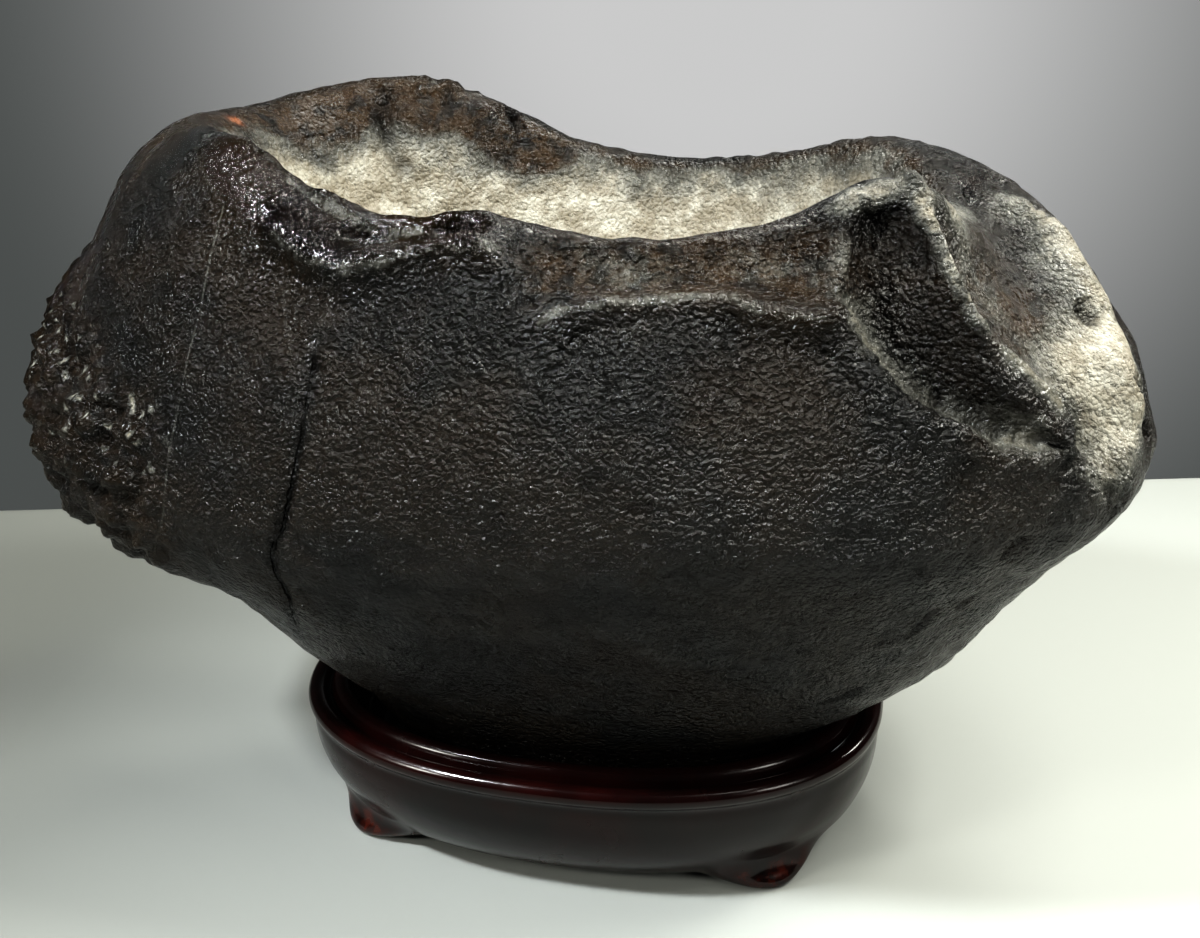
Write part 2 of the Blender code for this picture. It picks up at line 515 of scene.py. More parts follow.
GROUND_LEVELS = (
    (12.0, 1.0, 1.0, 1.0, 1.0, 2.0), (12.0, 27.0, 27.0, 17.0, 17.0, 2.0),
    (15.0, 38.0, 39.0, 24.0, 24.0, 2.1), (20.0, 43.0, 44.0, 27.5, 27.5, 2.2),
    (25.5, 46.5, 47.5, 29.8, 29.8, 2.2), (30.0, 50.0, 56.0, 32.5, 33.0, 2.2),
    (42.0, 62.0, 70.0, 41.0, 42.0, 2.2), (55.0, 75.0, 80.0, 48.0, 51.0, 2.2),
    (64.0, 99.0, 87.0, 52.0, 56.0, 2.2), (78.0, 106.0, 98.0, 57.0, 60.0, 2.2),
    (94.0, 103.0, 95.0, 57.0, 60.0, 2.1))
RIM_LEVELS = (
    (-17.0, 85.0, 89.0, 53.0, 56.0, 2.1), (-8.0, 79.0, 82.0, 49.0, 52.0, 2.1),
    (-2.5, 72.0, 75.0, 44.5, 46.0, 2.1), (0.0, 64.0, 63.0, 41.0, 41.0, 2.1),
    (-5.0, 58.0, 57.0, 37.0, 37.0, 2.1), (-16.0, 52.0, 52.0, 33.0, 33.0, 2.1))
BASIN_LEVELS = (
    (100.0, 44.0, 44.0, 28.0, 28.0, 2.1), (92.0, 28.0, 28.0, 18.0, 18.0, 2.0),
    (90.0, 1.0, 1.0, 1.0, 1.0, 2.0))


def levels_of(above: Above, rows: tuple[tuple[float, ...], ...]) -> tuple[Level, ...]:
    """Read rows of height, left, right, front, back and squareness as levels.

    Args:
        above: what their heights are counted from.
        rows: the numbers.

    Returns:
        The levels in the same order.
    """
    return tuple(Level(above, row[0], row[1:5], row[5]) for row in rows)


# The spout's two hollows: the smooth one to the left of its ridge, and the one that opens to the right.
PANEL = Scoop((0.42, -0.82, 0.40), 8.4, (
    (51.4, -31.2, 124.2, 5.0, 0.6), (53.7, -30.1, 124.7, 6.0, 0.8), (56.4, -30.1, 124.1, 10.0, 1.0),
    (58.8, -30.5, 123.1, 15.0, 1.0), (60.3, -31.8, 121.3, 17.0, 1.0), (62.5, -34.2, 116.9, 18.0, 1.0),
    (64.9, -35.7, 112.7, 18.0, 1.0), (67.9, -36.3, 107.9, 17.0, 1.0), (70.6, -36.8, 101.4, 13.0, 1.0),
    (73.7, -35.8, 97.4, 10.0, 1.0), (77.2, -34.4, 93.8, 7.0, 1.0), (79.6, -33.0, 91.6, 5.0, 1.0),
    (80.8, -32.6, 90.4, 4.0, 0.9), (79.9, -34.0, 89.5, 6.0, 0.5), (75.5, -37.6, 89.2, 6.5, 0.2),
    (69.4, -41.0, 91.2, 7.0, 0.2), (64.1, -43.1, 94.9, 7.0, 0.2), (58.1, -45.1, 98.0, 7.5, 0.2),
    (54.8, -45.1, 101.4, 8.0, 0.2), (50.4, -44.2, 107.0, 8.0, 0.2), (47.3, -43.4, 110.6, 8.0, 0.2),
    (47.3, -41.3, 114.5, 12.0, 0.2), (47.6, -38.8, 118.0, 13.0, 0.1), (48.2, -35.5, 121.5, 11.0, 0.1),
    (49.8, -32.6, 123.4, 6.0, 0.6)))
VALLEY = Scoop((0.78, -0.22, 0.58), 7.0, (
    (60.1, -29.0, 123.8, 12.0, 0.7), (60.8, -32.1, 120.7, 12.0, 0.9), (62.5, -34.2, 116.9, 11.0, 1.0),
    (64.9, -35.7, 112.7, 10.0, 1.0), (67.9, -36.3, 107.9, 10.0, 1.0), (70.3, -35.6, 105.9, 10.0, 0.9),
    (72.9, -34.5, 104.2, 10.0, 0.8), (76.2, -33.0, 101.1, 9.0, 0.8), (79.0, -31.7, 98.0, 8.0, 0.8),
    (80.7, -31.3, 94.7, 8.0, 0.8), (82.5, -31.3, 90.3, 8.0, 0.7), (84.6, -30.8, 86.2, 8.0, 0.5),
    (87.0, -29.3, 82.9, 9.0, 0.2), (89.4, -26.4, 82.4, 9.0, 0.0), (91.3, -23.1, 84.8, 10.0, 0.0),
    (92.7, -19.1, 87.7, 11.0, 0.1), (92.1, -16.8, 92.5, 12.0, 0.2), (90.3, -14.7, 97.8, 13.0, 0.2),
    (88.8, -7.8, 101.8, 15.0, 0.3), (85.2, -4.9, 107.5, 15.0, 0.3), (81.3, -0.6, 113.0, 15.0, 0.3),
    (77.4, 2.8, 117.0, 14.0, 0.2), (72.9, 3.4, 119.3, 16.0, 0.1), (69.5, 5.2, 120.7, 18.0, 0.0),
    (66.3, 5.9, 121.6, 22.0, 0.0), (63.1, 3.7, 121.3, 22.0, 0.0), (61.3, 1.8, 120.3, 22.0, 0.0)))

# Lines on the stone that the strokes, chips and painted marks below follow.
RIDGE = ((58.8, -30.5, 123.1), (60.5, -32.0, 120.9), (62.5, -34.2, 116.9), (64.9, -35.7, 112.7),
         (67.9, -36.3, 107.9))
LOWER_RIDGE = ((48.4, -42.0, 111.5), (51.4, -43.5, 107.2), (55.3, -44.3, 102.4), (58.8, -44.3, 99.2),
               (64.4, -42.4, 96.2), (69.7, -40.2, 92.9), (75.2, -37.2, 90.8), (79.6, -33.6, 91.0))
PEAK = ((48.3, -31.7, 124.2), (51.6, -29.6, 125.3), (55.6, -28.0, 125.7), (58.1, -28.4, 125.0))
CREST = ((-31.8, -43.2, 121.2), (-29.0, -44.6, 119.3), (-25.4, -45.9, 117.7), (-21.2, -46.6, 117.1),
         (-18.7, -46.7, 117.2), (-13.7, -46.4, 118.4), (-8.1, -46.2, 119.8), (-0.5, -46.8, 120.0))
SHOULDER = ((-44.3, -33.2, 132.0), (-38.9, -38.8, 127.7), (-32.8, -43.7, 124.2), (-27.7, -45.0, 121.6))
FRONT_CREST = ((8.9, -50.6, 111.1), (11.0, -50.0, 112.2), (14.2, -49.3, 112.6), (19.5, -48.0, 113.4),
               (27.5, -46.2, 113.7), (34.2, -45.1, 113.5), (37.6, -45.1, 112.2), (43.6, -44.2, 111.0),
               (47.3, -43.4, 110.6))
SHELF = ((10.8, -46.5, 117.7), (18.9, -44.7, 117.7), (27.0, -43.2, 117.5), (35.0, -41.6, 117.7),
         (41.7, -40.4, 117.6), (46.0, -40.0, 116.9))
CRACK = ((-26.4, -54.8, 96.7), (-27.2, -55.3, 93.8), (-28.3, -55.6, 90.7), (-29.1, -55.8, 87.5),
         (-30.7, -55.7, 83.3), (-32.6, -55.1, 78.8), (-34.9, -54.2, 75.6))
CRACK_END = ((-34.9, -54.2, 75.6), (-36.3, -52.1, 70.2), (-36.3, -48.9, 63.2), (-38.6, -43.6, 56.4))
NOTCH = ((-24.7, -50.7, 107.9), (-25.5, -51.8, 104.9), (-25.6, -53.2, 101.6), (-25.8, -54.0, 99.5))
SLIT_LEFT = ((-23.6, -43.6, 120.6), (-21.2, -43.3, 121.1), (-17.5, -43.6, 120.9),
             (-14.3, -44.2, 120.6))
SLIT_RIGHT = ((-8.8, -45.1, 120.8), (-7.0, -44.8, 121.5), (-4.9, -44.2, 122.5), (-2.7, -43.8, 123.2))
CRUST = ((-33.4, -37.1, 128.4), (-30.2, -38.5, 126.6), (-25.8, -40.0, 124.6), (-20.3, -42.0, 122.4),
         (-15.2, -43.4, 121.3), (-11.0, -43.8, 121.6))
BACK_FOLD = ((-44.1, 25.2, 132.5), (-43.0, 23.0, 127.8), (-41.7, 22.1, 124.1), (-39.6, 22.1, 120.7))
CLEFT = ((46.8, -33.3, 43.5), (50.4, -32.4, 44.6), (54.1, -31.7, 46.5))
BACK_CLEFT = ((-21.4, 37.0, 130.6), (-20.2, 35.8, 126.5))
FACET = ((70.6, -35.6, 105.2), (73.4, -34.7, 103.2), (76.6, -33.2, 100.0), (79.6, -31.9, 96.4))
OUTER_RIM = ((73.1, 0.7, 118.7), (77.6, 1.5, 116.7), (81.3, -0.6, 113.0), (85.2, -4.9, 107.5),
             (88.2, -9.3, 102.2), (89.9, -15.4, 98.0), (91.7, -17.4, 92.7))
BAND = ((49.6, -40.0, 109.5), (52.2, -39.8, 105.4), (56.0, -39.6, 100.8), (59.6, -38.8, 98.2),
        (64.4, -37.2, 95.6), (69.4, -35.8, 91.8), (74.4, -33.6, 90.2))
LIP = ((-28.7, -36.7, 127.0), (-24.0, -38.5, 124.9), (-19.7, -40.5, 123.7), (-15.0, -41.7, 123.0),
       (-10.6, -42.2, 123.2), (-6.2, -42.3, 124.1), (-0.5, -42.2, 124.7))
CHIPS = (
    Chips(PEAK, 3.6, 1.9, 2.6), Chips(RIDGE, 1.6, 1.0, 1.8), Chips(LOWER_RIDGE, 3.0, 1.6, 2.0),
    Chips(BAND, 3.5, 1.4, 2.2), Chips(CRUST, 2.2, 1.6, 1.8),
    Chips(((-22.6, -44.9, 119.2), (-19.2, -45.4, 118.8), (-15.3, -46.0, 118.6)), 1.6, 1.4, 1.6),
    Chips(((82.3, -31.9, 89.3), (86.2, -29.3, 85.7), (90.3, -25.4, 80.9)), 4.0, 2.4, 2.4),
    Chips(((68.8, 11.5, 122.0), (73.9, 4.0, 119.0), (77.3, 1.8, 116.9)), 4.0, 1.8, 2.6),
    Chips(((-60.9, -2.1, 132.5), (-50.0, -22.0, 133.0), (-38.0, -32.0, 131.0)), 3.0, 1.2, 2.6),
    Chips(((-48.0, 24.0, 135.5), (-38.0, 32.0, 136.0), (-30.0, 36.5, 134.0)), 3.6, 1.8, 3.4),
    Chips(((20.0, 45.0, 121.5), (40.0, 38.0, 123.5), (56.0, 26.0, 124.0)), 3.6, 1.6, 4.2),
)
TROUGH = ((64.7, -29.1, 121.1), (66.8, -29.5, 117.9), (69.8, -30.7, 113.3), (72.4, -31.8, 109.0),
          (75.9, -31.2, 103.5))
# Dark pits round the right-hand hollow, and each one's width with its height and with its painted shade.
PIT_STROKE = (1.9, -2.6)
PIT_SHADE = (1.4, 1.0)
PITS = (
    ((65.1, 4.2, 120.5), (66.6, 1.0, 119.8), (67.0, -1.5, 119.4)), ((72.6, 10.9, 120.1), (74.2, 9.5, 119.0)),
    ((76.7, 4.4, 117.4), (78.2, 2.8, 116.4)), ((83.9, -10.2, 104.8), (84.8, -10.8, 103.6)),
    ((92.4, -15.5, 95.6), (93.0, -14.6, 93.3)), ((94.3, -14.6, 87.8), (95.0, -13.6, 86.2)),
)
SHARP, FLAT = Section.SHARP, Section.FLAT
# Each stroke's line, width and height, then its section and whether its ends taper, in working order.
STROKE_ROWS = (
    (RIDGE, 1.8, 1.3, SHARP), (LOWER_RIDGE, 2.8, 1.6), (PEAK, 2.4, 1.2),
    (((57.0, -28.0, 125.4),), 2.0, 1.9), (((52.6, -30.3, 125.6),), 1.3, -0.8),
    (((55.2, -29.4, 126.0),), 1.1, -0.7), (((50.2, -31.0, 125.0),), 1.2, 0.7),
    (((48.6, -37.2, 119.6), (48.2, -39.6, 116.4)), 2.4, 1.9),
    (((51.6, -35.4, 120.0), (51.9, -38.2, 116.5)), 1.6, -1.0), (OUTER_RIM, 3.4, 1.3), (TROUGH, 4.0, -1.0),
    (SHOULDER, 4.5, 1.4), (CREST, 2.8, 1.9), (FRONT_CREST, 2.4, 1.8), (SHELF, 4.2, -1.5),
    (((-31.0, -46.5, 116.0), (-22.0, -49.5, 112.5), (-12.0, -50.0, 113.5)), 4.0, -0.9),
    (((8.9, -50.9, 110.9), (10.8, -49.9, 112.4), (13.0, -49.0, 113.6)), 1.4, -0.9), (LIP, 1.7, 0.9),
    (SLIT_LEFT, 1.4, -1.8, FLAT, True),
    (((-22.6, -45.4, 118.9), (-18.0, -46.0, 118.6), (-14.4, -46.0, 118.8)), 1.2, 0.9),
    (((-8.4, -46.2, 119.4), (-4.4, -46.2, 120.6), (-2.4, -45.6, 121.6)), 1.3, 0.9),
    (SLIT_RIGHT, 1.6, -2.0, FLAT, True),
    (((-1.7, -46.3, 120.6), (0.1, -46.7, 120.0), (1.4, -46.9, 119.5)), 1.5, 1.0),
    (CRACK, 1.1, -1.6, SHARP, True), (CRACK_END, 0.9, -0.7, SHARP),
    (((-24.7, -50.7, 107.9), (-25.9, -51.4, 106.0)), 1.2, -1.3, SHARP),
    (((-25.2, -52.1, 104.2), (-24.4, -52.9, 102.2)), 1.3, -1.2, SHARP),
    (((-26.2, -53.2, 101.3), (-25.8, -54.0, 99.0)), 1.1, -1.1, SHARP),
    (((68.2, 12.1, 122.0), (69.4, 10.2, 121.7)), 1.2, -1.6, SHARP),
    (((82.3, -31.9, 88.6), (85.2, -30.4, 86.4)), 1.6, -1.2, SHARP),
    (((86.2, -29.6, 84.0), (88.4, -27.8, 82.0)), 1.8, -1.4, SHARP),
    (((89.6, -26.4, 82.6), (91.3, -24.0, 81.2)), 1.4, 1.0), (BACK_FOLD, 2.0, -1.5, SHARP),
    (((-39.0, 25.8, 130.0), (-37.0, 24.4, 123.0)), 4.0, 1.2),
    (((-26.6, 34.5, 129.5), (-24.6, 33.8, 125.5)), 3.4, 1.3),
    (BACK_CLEFT, 1.4, -2.0, SHARP), (((-41.6, 29.8, 136.3),), 2.6, 1.0),
    (((-37.9, 32.3, 136.2),), 2.2, 0.9), (((-34.2, 34.6, 135.6),), 2.4, 1.1),
    (((-39.7, 31.1, 136.4),), 1.3, -0.7), (((-36.0, 33.6, 136.0),), 1.2, -0.8),
    (CLEFT, 1.3, -1.6, SHARP, True),
    (((60.2, -36.5, 58.8), (63.0, -37.4, 62.7), (65.0, -37.4, 64.6)), 1.0, -0.9, SHARP, True),
    (((73.4, -39.3, 75.0), (76.6, -38.2, 77.9)), 1.0, -0.8, SHARP, True),
    (((68.0, -34.9, 63.9), (71.4, -35.4, 67.5)), 1.0, -0.8, SHARP, True),
    (((14.6, -56.9, 90.5), (18.7, -56.5, 91.1)), 0.9, -0.8, SHARP, True),
    (((21.4, -56.5, 86.9), (25.5, -56.0, 86.4)), 1.0, -0.8, SHARP, True),
    (((2.3, -57.5, 84.8), (4.7, -57.5, 85.4)), 0.9, -0.6, SHARP, True),
    (((-14.1, -39.8, 41.2), (-2.7, -37.3, 36.6), (10.4, -33.8, 32.3)), 1.6, -0.5),
    (((29.7, -38.5, 121.1), (32.5, -41.2, 118.6), (35.3, -43.5, 115.4)), 0.9, -0.35, SHARP),
)
STROKES = (tuple(Stroke(*row) for row in STROKE_ROWS)
           + tuple(Stroke(pit, *PIT_STROKE, SHARP) for pit in PITS))
# Each mark's line, width and amount, by channel; the marks include painted shade and painted highlights.
MARK_ROWS = {
    # Painted shade in the cracks, the notch, the clefts, the back fold, beside the back cleft and in the
    # slits.
    Channel.DARK: (
        (CRACK, 0.9, 1.0), (NOTCH, 1.4, 0.8), (CRACK_END, 0.7, 0.5),
        (CLEFT, 1.2, 0.9),
        (BACK_CLEFT, 1.2, 1.0), (BACK_FOLD, 2.4, 0.6),
        (((-27.0, 34.5, 131.5), (-24.6, 33.8, 127.0)), 4.0, 0.5), (SLIT_LEFT, 0.9, 0.8),
        (SLIT_RIGHT, 1.1, 0.8),
    ),
    Channel.TINT: (
        (BACK_FOLD, 7.0, 0.9), (SHELF, 5.0, 0.9),
        (((70.0, -26.0, 113.0), (74.0, -22.0, 108.0), (78.0, -20.0, 104.0)), 9.0, 1.0),
    ),
    # Of these pale rows, the ridge, both crests, the band, the lower ridge and the short line at the panel's
    # upper-left edge are painted highlights; the facet and the outer rim are partly pale stone and partly
    # painted highlight.
    Channel.BLOOM: (
        (CRUST, 1.5, 0.40), (((48.6, -36.6, 120.0), (49.6, -38.2, 117.4)), 1.8, 0.36), (SHELF, 5.0, 0.30),
        (FRONT_CREST, 0.9, 0.35), (CREST, 1.2, 0.30),
        (((-0.5, -46.5, 120.4), (1.0, -46.9, 119.7)), 1.2, 0.4), (PEAK, 3.0, 0.62), (RIDGE, 1.3, 0.90),
        (FACET, 1.5, 0.55), (BAND, 4.2, 0.50), (LOWER_RIDGE, 2.4, 0.12), (OUTER_RIM, 5.0, 0.62),
        (((80.0, -8.0, 112.0), (84.0, -15.0, 104.0), (87.0, -21.0, 96.0)), 7.0, 0.34),
        (((61.5, -22.0, 123.5), (64.0, -8.0, 120.5)), 5.0, 0.62),
        (((66.0, -24.0, 117.0), (72.0, -26.0, 108.0), (77.0, -24.0, 101.0)), 6.0, 0.32),
        (((87.5, -25.0, 87.0), (88.5, -19.0, 93.0), (85.0, -20.0, 98.0)), 8.0, 0.66),
    ),
    Channel.POLISH: (
        (LIP, 2.4, 0.9), (SLIT_LEFT, 1.8, 1.0), (SLIT_RIGHT, 2.0, 1.0), (CREST, 4.0, 0.9),
        (FRONT_CREST, 2.2, 0.9), (SHOULDER, 4.5, 0.9), (FACET, 2.0, 0.7),
    ),
    Channel.WARM_SPOT: (
        # A small orange spot on the rim at the left end.
        (((-60.9, -2.1, 132.5),), 1.3, 1.0),
    ),
}
MARKS = (tuple(Mark(channel, *row) for channel, rows in MARK_ROWS.items() for row in rows)
          + tuple(Mark(Channel.DARK, pit, *PIT_SHADE) for pit in PITS))


@dataclass(frozen=True)
class Stone:
    """The stone: one solid, from its foot over the belly and the rim to the basin's floor."""

    name: str = "stone"
    segments: int = 240
    rings: int = 150
    grid: float = 1.08
    levels: tuple[Level, ...] = (levels_of(Above.GROUND, GROUND_LEVELS)
                                 + levels_of(Above.RIM, RIM_LEVELS)
                                 + levels_of(Above.GROUND, BASIN_LEVELS))
    rim_heights: tuple[tuple[float, float], ...] = (
        (-180, 134.0), (-165, 134.5), (-150, 134.0), (-137, 130.5), (-122, 125.0), (-108, 123.5),
        (-92, 125.0), (-76, 122.5), (-60, 121.2), (-45, 122.3), (-33, 125.0), (-24, 127.0),
        (-16, 122.5), (-6, 119.5), (6, 122.0), (18, 125.5), (31, 125.2), (45, 122.8),
        (60, 121.0), (75, 120.0), (90, 121.0), (105, 124.0), (118, 129.5), (130, 134.5),
        (142, 137.3), (156, 136.5), (168, 134.3))
    rim_reach: tuple[float, float, float, float] = (64.0, 63.0, 41.0, 41.0)
    dark_band: tuple[tuple[float, float], ...] = (
        (-180, 4.0), (-120, 2.0), (-90, 2.0), (0, 4.0), (30, 4.5), (55, 4.5), (72, 3.5), (88, 2.5),
        (102, 4.0), (112, 9.0), (125, 14.0), (145, 13.0), (165, 8.0), (180, 5.0))
    scoops: tuple[Scoop, ...] = (PANEL, VALLEY)
    fringe: Path = ((-77.8, -30.7, 108.6), (-69.7, -39.1, 104.3), (-66.0, -43.3, 99.0),
                    (-60.9, -46.7, 95.3), (-57.2, -49.0, 91.3), (-55.7, -50.4, 85.2),
                    (-56.8, -49.9, 78.0), (-60.5, -46.2, 69.8))
    seat_top: float = 27.0
    swell: tuple[float, float] = (34.0, 0.9)
    ripple: tuple[float, float] = (8.0, 0.34)
    pebble_cell: Point = (5.0, 5.0, 4.4)
    pebble_height: float = 0.62
    fringe_back: tuple[float, float] = (146.0, 156.0)
    fringe_top: tuple[float, float] = (121.0, 106.0)
    fringe_foot: tuple[float, float] = (60.0, 66.0)
    rib_cell: Point = (8.0, 8.0, 4.4)
    rib_height: float = 3.3
    knob_cell: Point = (3.4, 3.4, 2.3)
    knob_height: float = 1.5
    fringe_sink: float = 1.7
    speck_and_glint_cell: Point = (3.2, 3.2, 2.8)

    def rim_height(self, azimuth: np.ndarray) -> np.ndarray:
        """Height of the rim in each direction.

        Args:
            azimuth: directions in radians.

        Returns:
            Heights above the ground.
        """
        keys = np.array(self.rim_heights)
        count = len(keys)
        turn = (np.degrees(azimuth) + 180.0) % 360.0 - 180.0
        index = np.searchsorted(keys[:, 0], turn, side="right") - 1

        def key(step: int) -> tuple[np.ndarray, np.ndarray]:
            """The key that many steps away, as angle and height."""
            place = index + step
            return keys[place % count, 0] + 360.0 * (place // count), keys[place % count, 1]

        (x0, y0), (x1, y1), (x2, y2), (x3, y3) = (key(step) for step in (-1, 0, 1, 2))
        t = (turn - x1) / (x2 - x1)
        slope_1 = (y2 - y0) / (x2 - x0) * (x2 - x1)
        slope_2 = (y3 - y1) / (x3 - x1) * (x2 - x1)
        rise = t * t * (3.0 - 2.0 * t)
        return (y1 + (y2 - y1) * rise + slope_1 * t * (1.0 - t) ** 2
                - slope_2 * t * t * (1.0 - t))

    def shell(self, azimuth: np.ndarray, climb: np.ndarray) -> np.ndarray:
        """The stone's surface before its hollows are scooped.

        Args:
            azimuth: directions in radians.
            climb: 0 at the foot to 1 at the basin's floor.

        Returns:
            Points in millimetres.
        """
        rim = self.rim_height(azimuth)
        reaches = np.stack([oval_reach(azimuth, level.sides, level.squareness)
                            for level in self.levels])
        heights = np.stack([level.height + (rim if level.above is Above.RIM else 0.0 * rim)
                            for level in self.levels])
        position = climb * (len(self.levels) - 1)
        reach = catmull_rom(reaches, position)
        height = catmull_rom(heights, position)
        return np.stack([reach * np.cos(azimuth), reach * np.sin(azimuth), height], axis=1)

    def rough_out(self) -> bpy.types.Object:
        """Shape a ball into the stone and give it an even skin.

        Returns:
            The stone in millimetres, with points about a millimetre apart.
        """
        piece = add_ball(self.name, self.segments, self.rings)
        start = read_points(piece)
        climb = np.arccos(np.clip(-start[:, 2], -1.0, 1.0)) / math.pi
        write_points(piece, self.shell(np.arctan2(start[:, 1], start[:, 0]), climb))
        apply_modifier(piece, "REMESH", mode="VOXEL", voxel_size=self.grid, adaptivity=0.0)
        apply_modifier(piece, "SMOOTH", factor=0.5, iterations=14)
        return piece

    def weather(self, surface: Surface) -> None:
        """Give the whole surface its swells, its pebbles and its knobby left end.

        Args:
            surface: the stone's points.
        """
        spots = surface.points
        free = smooth_step(self.seat_top, self.seat_top + 8.0, spots[:, 2])
        swells = fractal(spots, self.swell[0], 3, 3.7) * self.swell[1]
        ripples = fractal(spots, self.ripple[0], 3, 11.3) * self.ripple[1]
        pebbly = smooth_step(-0.3, 0.3, fractal(spots, 26.0, 2, 1.9)) * 0.7 + 0.3
        pebbles = (0.42 - cells(spots, self.pebble_cell, 4.6)) * self.pebble_height * pebbly
        surface.lift((swells + ripples + pebbles) * free)
        self.knob(surface)

    def knob(self, surface: Surface) -> None:
        """Raise the ribs and knobs of the left end, up to the edge of the fringe.

        Args:
            surface: the stone's points.
        """
        spots = surface.points
        edge = np.array(self.fringe)[::-1]
        turn = np.degrees(np.arctan2(spots[:, 1], spots[:, 0])) % 360.0
        limit = np.interp(spots[:, 2], edge[:, 2],
                          np.degrees(np.arctan2(edge[:, 1], edge[:, 0])) % 360.0)
        share = (smooth_step(0.5, -2.5, turn - limit) * smooth_step(*self.fringe_back, turn)
                 * smooth_step(*self.fringe_top, spots[:, 2])
                 * smooth_step(*self.fringe_foot, spots[:, 2]))
        wander = fractal(spots, 12.0, 2, 8.8)[:, None] * (3.0, 3.0, 2.4)
        ribs = np.clip(1.0 - cells(spots + wander, self.rib_cell, 2.2) / 0.75, 0.0, 1.0)
        small = np.clip(1.0 - cells(spots + wander, self.knob_cell, 6.4) / 0.8, 0.0, 1.0)
        surface.lift(share * (ribs ** 0.7 * self.rib_height + small * self.knob_height
                              - self.fringe_sink))
        surface.paint[Channel.POLISH] += share * smooth_step(0.3, 0.7, ribs)
        # Pale specks round the knobby end: partly mineral specks, partly painted glints on the knobs.
        specks_and_glints = smooth_step(0.34, 0.16, cells(spots, self.speck_and_glint_cell, 3.3))
        upper = smooth_step(22.0, 4.0, np.abs(spots[:, 2] - 94.0))
        around = smooth_step(6.0, -1.0, turn - limit) * smooth_step(150.0, 160.0, turn)
        surface.paint[Channel.BLOOM] += around * upper * specks_and_glints * 0.85
        surface.paint[Channel.TINT] += around * 0.3

    def colour(self, surface: Surface) -> None:
        """Paint the basin's pale mineral deposit and the brown tints above it.

        Args:
            surface: the stone's points.
        """
        spots = surface.points
        azimuth = np.arctan2(spots[:, 1], spots[:, 0])
        ratio = np.hypot(spots[:, 0], spots[:, 1]) / oval_reach(azimuth, self.rim_reach, 2.1)
        depth = self.rim_height(azimuth) - spots[:, 2]
        inside = smooth_step(1.0, 0.93, ratio) * smooth_step(80.0, 88.0, spots[:, 2])
        dark_band = np.interp(np.degrees(azimuth), *zip(*self.dark_band))
        below = depth - dark_band - fractal(spots, 14.0, 3, 6.6) * 4.5
        surface.paint[Channel.BLOOM] += inside * smooth_step(-8.0, 8.0, below)
        surface.paint[Channel.TINT] += inside * smooth_step(9.0, -2.0, below)

    def build(self) -> bpy.types.Object:
        """Make the whole stone.

        Returns:
            The finished piece, which stands for the frame's rock.
        """
        piece = self.rough_out()
        surface = Surface(piece)
        for scoop in self.scoops:
            surface.scoop(scoop)
        self.weather(surface)
        for stroke in STROKES:
            surface.work(stroke)
        for chips in CHIPS:
            surface.chip(chips)
        self.colour(surface)
        for stain in MARKS:
            surface.stain(stain)
        surface.finish()
        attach(piece, ROOT)
        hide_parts("rock")
        return piece


